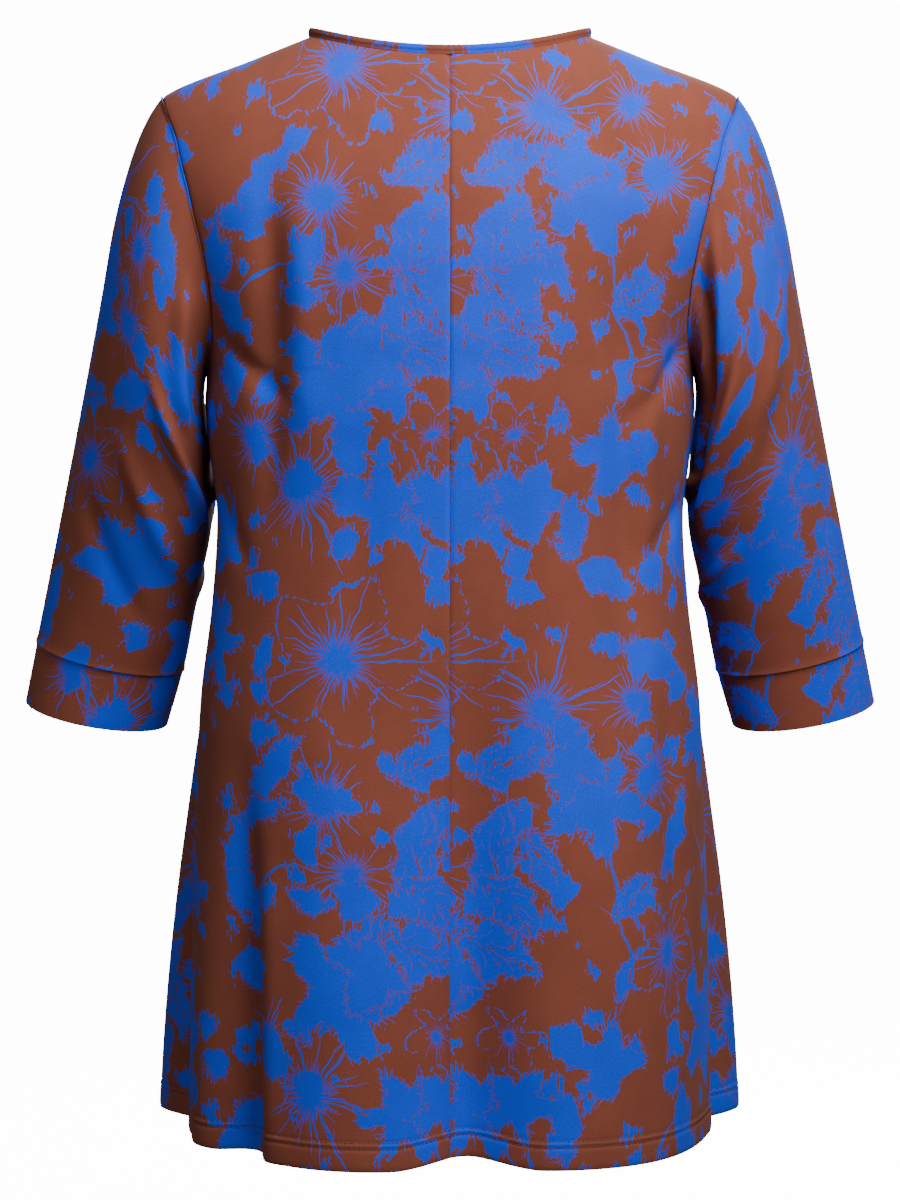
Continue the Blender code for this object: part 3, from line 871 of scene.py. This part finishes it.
def body_panel(name, side, is_front, folds, print_shift, sizes):
    """A back half, or the whole front when side is 0."""
    shares = panel_shares(sizes, side == 0)
    levels = panel_levels(sizes)
    half_width = 0.25

    def from_centre(across):
        if side:
            return side, (across if side > 0 else 1 - across)
        return (1 if across <= 0.5 else -1), abs(1 - 2 * across)

    def point(across, level):
        half, share = from_centre(across)
        return panel_point(share, level, half, is_front)

    start = min(range(len(shares)), key=lambda i: from_centre(shares[i])[1])
    rows = unrolled_rows(shares, levels, point, start)

    def place(across, level):
        at = rows[level][1][across]
        round_body = rows[level][0][across]
        return at, (round_body + print_shift[0], at.z + print_shift[1])

    def raise_by(across, level):
        half, share = from_centre(across)
        at = rows[level][1][across]
        round_body = rows[level][0][across]
        lift = fold_rise(folds, round_body, at.z) * held_at_seam((1 - share) * half_width)
        lift += seam_dip((1 - share) * half_width)
        if side:
            lift += seam_dip(share * half_width, 0.0011, 0.0018)
        if share > NECK_SHARE:
            lift += seam_dip((TIP_Z - level) * 2.2)
        lift += hem_shape(level - SIDE_HEM_Z, sizes)
        return lift

    mesh = lay_cloth(name, shares, levels, place, raise_by)
    turned_out(mesh, lambda at: Vector((at.x, at.y, 0)))
    return mesh


def sleeve_mesh(name, side, start_along, end_along, shrink, folds, print_shift, sizes):
    columns = sizes.sleeve_columns
    shares = [i / columns for i in range(columns + 1)]
    length = SLEEVE_LENGTH * (end_along - start_along)
    downs = even_shares(length, sizes.cell * 0.9, EDGE_CELLS, EDGE_CELLS)

    def point(across, down):
        turn = 2 * math.pi * across * side
        return sleeve_point(turn, mix(start_along, end_along, down), side, shrink)

    rows = unrolled_rows(shares, downs, point, columns // 4)

    def place(across, down):
        at = rows[down][1][across]
        round_arm = rows[down][0][across]
        along = mix(start_along, end_along, down)
        return at, (round_arm * side + print_shift[0],
                    print_shift[1] - 0.06 - along * SLEEVE_LENGTH)

    def raise_by(across, down):
        along = mix(start_along, end_along, down)
        degrees = 360 * across
        lift = fold_rise(folds, degrees, along, (0.0013, SLEEVE_LENGTH))
        if start_along == 0:
            lift *= held_at_seam(down * length)
            return (lift + seam_dip(down * length, 0.0007)
                    + seam_dip((1 - down) * length, 0.0007, 0.0030))
        return lift + seam_dip(down * length, 0.0006, 0.0024)

    mesh = lay_cloth(name, shares, downs, place, raise_by, closed=True)
    middle = sum((v.co for v in mesh.vertices), Vector()) / len(mesh.vertices)
    turned_out(mesh, lambda at: at - Vector((middle.x, middle.y, at.z)))
    return mesh


class TUNIC_OT_back(bpy.types.Operator):
    """Cut and lay the two halves of the back"""
    bl_idname = "tunic.back"
    bl_label = "Back halves"

    def execute(self, context):
        sizes = context.scene.tunic_sizes
        for name, side, shift in (("back_left", -1, 0.0), ("back_right", 1, -0.058)):
            mesh = body_panel(name, side, False, BACK_FOLDS, (shift, 0.0), sizes)
            piece = add_piece("cloth_" + name, mesh, jersey(), (name,),
                              sizes.wall)
        return {"FINISHED"}


class TUNIC_OT_front(bpy.types.Operator):
    """Cut and lay the front"""
    bl_idname = "tunic.front"
    bl_label = "Front"

    def execute(self, context):
        sizes = context.scene.tunic_sizes
        mesh = body_panel("front", 0, True, FRONT_FOLDS, (0.190, 0.120), sizes)
        piece = add_piece("cloth_front", mesh, jersey(), ("front",),
                          sizes.wall)
        return {"FINISHED"}


class TUNIC_OT_sleeves(bpy.types.Operator):
    """Cut and lay both sleeves and their cuffs"""
    bl_idname = "tunic.sleeves"
    bl_label = "Sleeves and cuffs"

    def execute(self, context):
        sizes = context.scene.tunic_sizes
        for name, side, folds, shift, cuff_shift in (
                ("left", -1, LEFT_SLEEVE_FOLDS, (-0.086, 0.086), (0.039, 0.191)),
                ("right", 1, RIGHT_SLEEVE_FOLDS, (0.040, -0.181), (0.040, -0.116))):
            mesh = sleeve_mesh("sleeve_" + name, side, 0.0, CUFF_SEAM_AT, 0.0, folds, shift,
                               sizes)
            piece = add_piece("cloth_sleeve_" + name, mesh, jersey(),
                              ("sleeve_" + name,), sizes.wall)
            mesh = sleeve_mesh("cuff_" + name, side, CUFF_SEAM_AT, CUFF_EDGE_AT, CUFF_STEP / 3, (),
                               cuff_shift, sizes)
            piece = add_piece("cloth_cuff_" + name, mesh, jersey(),
                              ("cuff_" + name,), sizes.wall)
        return {"FINISHED"}


def neckline(turn_share):
    """Point of the neckline, once round from the centre back."""
    turn_share %= 1.0
    side = 1 if turn_share <= 0.5 else -1
    from_back = (turn_share if side > 0 else 1 - turn_share) * 4
    is_front = from_back > 1
    across = (2 - from_back if is_front else from_back) * NECK_SHARE
    return panel_point(across, TIP_Z - 1e-7, side, is_front)


class TUNIC_OT_neck(bpy.types.Operator):
    """Set the narrow folded binding on the neckline"""
    bl_idname = "tunic.neck"
    bl_label = "Neck binding"

    def execute(self, context):
        sizes = context.scene.tunic_sizes
        steps = 220
        shares = [i / steps for i in range(steps + 1)]
        downs = [i / 8 for i in range(9)]
        points = {s: neckline(s) for s in shares}
        gathered = [0.0]
        for a, b in zip(shares, shares[1:]):
            gathered.append(gathered[-1] + (points[b] - points[a]).length)
        round_neck = dict(zip(shares, gathered))

        def place(across, down):
            point = points[across]
            along = neckline(across + 0.5 / steps) - neckline(across - 0.5 / steps)
            out = Vector((point.x * 0.5, point.y, 0)).normalized()
            up = along.cross(-out).normalized()
            if up.z < 0:
                up = -up
            at = point + up * (sizes.binding * (1 - down) - 0.0014 * down) + out * 0.0003
            return at, (round_neck[across] * 1.0 + 0.07,
                        -0.042 + up.z * sizes.binding * (1 - down))

        def raise_by(across, down):
            roll = 0.0009 * math.sin(math.pi * min(max(down, 0.0), 1.0))
            return roll - 0.0007 * math.exp(-(((down - 0.62) / 0.10) ** 2))

        mesh = lay_cloth("neck_binding", shares, downs, place, raise_by, closed=True)
        turned_out(mesh, lambda at: Vector((at.x, at.y, 0)))
        piece = add_piece("cloth_neck_binding", mesh, jersey(),
                          ("neck_binding",), 0.0022)
        return {"FINISHED"}


def stitch_row(cloth, points, normals, length, width=0.00045):
    """A run of short stitches along a line: every other gap is left bare."""
    distance = 0.0
    due = 0.0
    for i in range(len(points) - 1):
        run = points[i + 1] - points[i]
        while due < distance + run.length:
            at = points[i] + run * ((due - distance) / run.length)
            along = run.normalized()
            out = normals[i].normalized()
            side = out.cross(along).normalized()
            frame_matrix = Matrix((along, side, out)).transposed().to_4x4()
            size = Matrix.Diagonal((length * 0.40, width, width * 0.8, 1))
            bmesh.ops.create_icosphere(
                cloth, subdivisions=1, radius=1.0,
                matrix=Matrix.Translation(at + out * width * 0.3) @ frame_matrix @ size)
            due += length
        distance += run.length


def stitches_piece(name, rows, length):
    cloth = bmesh.new()
    for points, normals in rows:
        stitch_row(cloth, points, normals, length)
    mesh = bpy.data.meshes.new(name)
    cloth.to_mesh(mesh)
    cloth.free()
    mesh.shade_smooth()
    return add_piece(name, mesh, thread())


def hem_line(side, is_front, above, sizes):
    """Points and normals along the hem of one half, a set distance above the edge."""
    level = SIDE_HEM_Z + above
    shares = [i / 90 for i in range(91)]
    points = [panel_point(s, level, side, is_front) for s in shares]
    over = [panel_point(s, level + STEP, side, is_front) for s in shares]
    normals = []
    for i, point in enumerate(points):
        along = points[min(i + 1, 90)] - points[max(i - 1, 0)]
        normal = along.cross(over[i] - point).normalized()
        if normal.dot(Vector((point.x, point.y, 0))) < 0:
            normal = -normal
        normals.append(normal)
    lift = hem_shape(above, sizes)
    return [p + n * lift for p, n in zip(points, normals)], normals


class TUNIC_OT_stitches(bpy.types.Operator):
    """Sew the hem with its two rows of stitches, and edge-stitch the neck binding"""
    bl_idname = "tunic.stitches"
    bl_label = "Stitching"

    def execute(self, context):
        sizes = context.scene.tunic_sizes
        rows = []
        for side in (-1, 1):
            for is_front in (False, True):
                for above in (sizes.hem, sizes.hem - sizes.needle_gap):
                    rows.append(hem_line(side, is_front, above, sizes))
        stitches_piece("hem_stitches", rows, sizes.stitch)

        steps = 240
        points, normals = [], []
        for i in range(steps + 1):
            point = neckline(i / steps)
            along = neckline((i + 0.5) / steps) - neckline((i - 0.5) / steps)
            out = Vector((point.x * 0.5, point.y, 0)).normalized()
            up = along.cross(-out).normalized()
            up = up if up.z > 0 else -up
            normal = along.cross(up).normalized()
            normal = normal if normal.dot(out) > 0 else -normal
            points.append(point + up * sizes.binding * 0.38 + normal * 0.0002)
            normals.append(normal)
        stitches_piece("neck_stitches", [(points, normals)], 0.0028)
        return {"FINISHED"}


class TUNIC_OT_stage(bpy.types.Operator):
    """Set the pale floor and backdrop, the soft lights and the camera"""
    bl_idname = "tunic.stage"
    bl_label = "Stage"

    def execute(self, context):
        sheet = bmesh.new()
        bmesh.ops.create_grid(sheet, x_segments=1, y_segments=1, size=40)
        bmesh.ops.translate(sheet, vec=(0, 0, FLOOR_Z), verts=sheet.verts)
        mesh = bpy.data.meshes.new("pale_floor")
        sheet.to_mesh(mesh)
        sheet.free()
        material = bpy.data.materials.new("pale_paper")
        material.use_nodes = True
        shader = material.node_tree.nodes["Principled BSDF"]
        shader.inputs["Base Color"].default_value = (0.93, 0.93, 0.93, 1)
        shader.inputs["Roughness"].default_value = 0.9
        shader.inputs["Emission Color"].default_value = (1, 1, 1, 1)
        shader.inputs["Emission Strength"].default_value = PAPER_WHITE
        mesh.materials.append(material)
        floor = bpy.data.objects.new("pale_floor", mesh)
        context.scene.collection.objects.link(floor)
        floor.visible_diffuse = False
        floor.visible_glossy = False

        for name, at, aim, size, power in (
                ("key_light", (0.60, -1.08, 0.82), (0.0, 0.0, -0.22), 1.0, 37.0),
                ("top_light", (0.1, -0.5, 2.0), (0.0, 0.0, -0.1), 1.6, 14.0),
                ("fill_light", (-1.7, -2.4, 0.7), (0.0, 0.0, -0.2), 1.6, 13.0),
                ("front_light", (0.5, 3.0, 1.3), (0.0, 0.0, -0.3), 1.8, 105.0)):
            light = bpy.data.lights.new(name, "AREA")
            light.shape = "DISK"
            light.size = size
            light.energy = power
            lamp = bpy.data.objects.new(name, light)
            lamp.location = at
            lamp.rotation_euler = (Vector(aim) - Vector(at)).to_track_quat("-Z", "Y").to_euler()
            context.scene.collection.objects.link(lamp)

        # The surround looks white and gives only a little light.
        world = bpy.data.worlds.new("studio")
        world.use_nodes = True
        draw = Nodes(world.node_tree)
        surround = world.node_tree.nodes["Background"]
        surround.inputs[0].default_value = (1, 1, 1, 1)
        seen = draw.make("ShaderNodeLightPath").outputs["Is Camera Ray"]
        strength = draw.math("MULTIPLY_ADD", seen, PAPER_WHITE, SURROUND_LIGHT)
        world.node_tree.links.new(strength, surround.inputs[1])
        context.scene.world = world

        lens = bpy.data.cameras.new("camera")
        lens.sensor_width = 36.0
        lens.lens = 36.0 * 3.0 / 0.885
        lens.shift_y = -0.068 / 0.885
        camera = bpy.data.objects.new("camera", lens)
        camera.location = (0.0, -3.0, -0.35)
        camera.rotation_euler = (math.pi / 2, 0.0, 0.0)
        context.scene.collection.objects.link(camera)
        context.scene.camera = camera
        return {"FINISHED"}


class TUNIC_PT_panel(bpy.types.Panel):
    """Lists the tunic's settings and pieces in the sidebar"""
    bl_idname = "TUNIC_PT_panel"
    bl_label = "Tunic"
    bl_space_type = "VIEW_3D"
    bl_region_type = "UI"
    bl_category = "Tunic"

    def draw(self, context):
        for settings in (context.scene.tunic_sizes, context.scene.tunic_colours):
            for name in settings.__annotations__:
                self.layout.prop(settings, name)
        for operator in OPERATORS:
            self.layout.operator(operator.bl_idname)


OPERATORS = (TUNIC_OT_back, TUNIC_OT_front, TUNIC_OT_sleeves, TUNIC_OT_neck, TUNIC_OT_stitches,
             TUNIC_OT_stage)
CLASSES = (TunicColours, TunicSizes, *OPERATORS, TUNIC_PT_panel)


def register():
    for cls in CLASSES:
        bpy.utils.register_class(cls)
    bpy.types.Scene.tunic_colours = PointerProperty(type=TunicColours)
    bpy.types.Scene.tunic_sizes = PointerProperty(type=TunicSizes)


def unregister():
    del bpy.types.Scene.tunic_sizes
    del bpy.types.Scene.tunic_colours
    for cls in reversed(CLASSES):
        bpy.utils.unregister_class(cls)


def main():
    register()
    bpy.ops.tunic.back()
    bpy.ops.tunic.front()
    bpy.ops.tunic.sleeves()
    bpy.ops.tunic.neck()
    bpy.ops.tunic.stitches()
    bpy.ops.tunic.stage()


if __name__ == "__main__":
    main()
